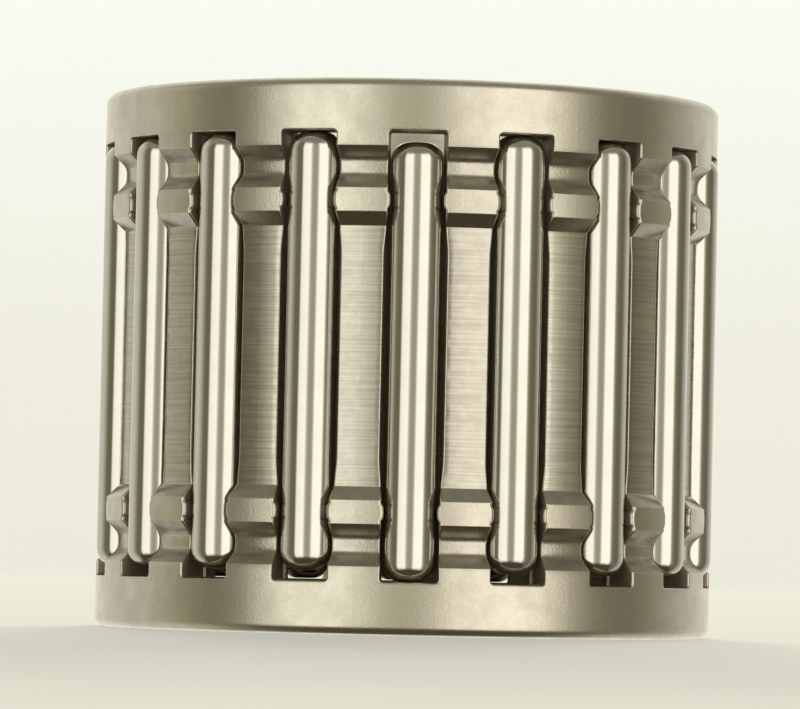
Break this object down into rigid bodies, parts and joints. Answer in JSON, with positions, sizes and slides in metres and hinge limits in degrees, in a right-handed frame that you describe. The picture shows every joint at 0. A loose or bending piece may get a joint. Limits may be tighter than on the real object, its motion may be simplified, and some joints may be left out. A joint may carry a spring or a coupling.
{
  "type": "needle roller bearing",
  "caption": "Radial needle roller and cage assembly: a grooved one-piece steel cage holding a ring of loose polished needle rollers, with no inner or outer ring.",
  "frame": {"origin": "centre of the bearing, on its axis and midway between the end faces", "axes": "+Z along the bearing's axis, -Y towards the first roller"},
  "size_m": [0.0296, 0.03, 0.0256],
  "materials": {
    "cage_steel": "satin",
    "roller_steel": "polished"
  },
  "bodies": {
    "cage": {"cage": "cage_steel"},
    "roller_01": {"roller_01": "roller_steel"},
    "roller_02": {"roller_02": "roller_steel"},
    "roller_03": {"roller_03": "roller_steel"},
    "roller_04": {"roller_04": "roller_steel"},
    "roller_05": {"roller_05": "roller_steel"},
    "roller_06": {"roller_06": "roller_steel"},
    "roller_07": {"roller_07": "roller_steel"},
    "roller_08": {"roller_08": "roller_steel"},
    "roller_09": {"roller_09": "roller_steel"},
    "roller_10": {"roller_10": "roller_steel"},
    "roller_11": {"roller_11": "roller_steel"},
    "roller_12": {"roller_12": "roller_steel"},
    "roller_13": {"roller_13": "roller_steel"},
    "roller_14": {"roller_14": "roller_steel"},
    "roller_15": {"roller_15": "roller_steel"},
    "roller_16": {"roller_16": "roller_steel"},
    "roller_17": {"roller_17": "roller_steel"},
    "roller_18": {"roller_18": "roller_steel"}
  },
  "joints": [
    {"name": "roller_01_spin", "type": "hinge", "parent": "cage", "child": "roller_01", "pos_m": [0, -0.01375, 0], "axis": [0, 0, 1], "continuous": true},
    {"name": "roller_02_spin", "type": "hinge", "parent": "cage", "child": "roller_02", "pos_m": [0.0047, -0.01292, 0], "axis": [0, 0, 1], "continuous": true},
    {"name": "roller_03_spin", "type": "hinge", "parent": "cage", "child": "roller_03", "pos_m": [0.00884, -0.01053, 0], "axis": [0, 0, 1], "continuous": true},
    {"name": "roller_04_spin", "type": "hinge", "parent": "cage", "child": "roller_04", "pos_m": [0.01191, -0.00688, 0], "axis": [0, 0, 1], "continuous": true},
    {"name": "roller_05_spin", "type": "hinge", "parent": "cage", "child": "roller_05", "pos_m": [0.01354, -0.00239, 0], "axis": [0, 0, 1], "continuous": true},
    {"name": "roller_06_spin", "type": "hinge", "parent": "cage", "child": "roller_06", "pos_m": [0.01354, 0.00239, 0], "axis": [0, 0, 1], "continuous": true},
    {"name": "roller_07_spin", "type": "hinge", "parent": "cage", "child": "roller_07", "pos_m": [0.01191, 0.00688, 0], "axis": [0, 0, 1], "continuous": true},
    {"name": "roller_08_spin", "type": "hinge", "parent": "cage", "child": "roller_08", "pos_m": [0.00884, 0.01053, 0], "axis": [0, 0, 1], "continuous": true},
    {"name": "roller_09_spin", "type": "hinge", "parent": "cage", "child": "roller_09", "pos_m": [0.0047, 0.01292, 0], "axis": [0, 0, 1], "continuous": true},
    {"name": "roller_10_spin", "type": "hinge", "parent": "cage", "child": "roller_10", "pos_m": [0, 0.01375, 0], "axis": [0, 0, 1], "continuous": true},
    {"name": "roller_11_spin", "type": "hinge", "parent": "cage", "child": "roller_11", "pos_m": [-0.0047, 0.01292, 0], "axis": [0, 0, 1], "continuous": true},
    {"name": "roller_12_spin", "type": "hinge", "parent": "cage", "child": "roller_12", "pos_m": [-0.00884, 0.01053, 0], "axis": [0, 0, 1], "continuous": true},
    {"name": "roller_13_spin", "type": "hinge", "parent": "cage", "child": "roller_13", "pos_m": [-0.01191, 0.00688, 0], "axis": [0, 0, 1], "continuous": true},
    {"name": "roller_14_spin", "type": "hinge", "parent": "cage", "child": "roller_14", "pos_m": [-0.01354, 0.00239, 0], "axis": [0, 0, 1], "continuous": true},
    {"name": "roller_15_spin", "type": "hinge", "parent": "cage", "child": "roller_15", "pos_m": [-0.01354, -0.00239, 0], "axis": [0, 0, 1], "continuous": true},
    {"name": "roller_16_spin", "type": "hinge", "parent": "cage", "child": "roller_16", "pos_m": [-0.01191, -0.00688, 0], "axis": [0, 0, 1], "continuous": true},
    {"name": "roller_17_spin", "type": "hinge", "parent": "cage", "child": "roller_17", "pos_m": [-0.00884, -0.01053, 0], "axis": [0, 0, 1], "continuous": true},
    {"name": "roller_18_spin", "type": "hinge", "parent": "cage", "child": "roller_18", "pos_m": [-0.0047, -0.01292, 0], "axis": [0, 0, 1], "continuous": true}
  ]
}
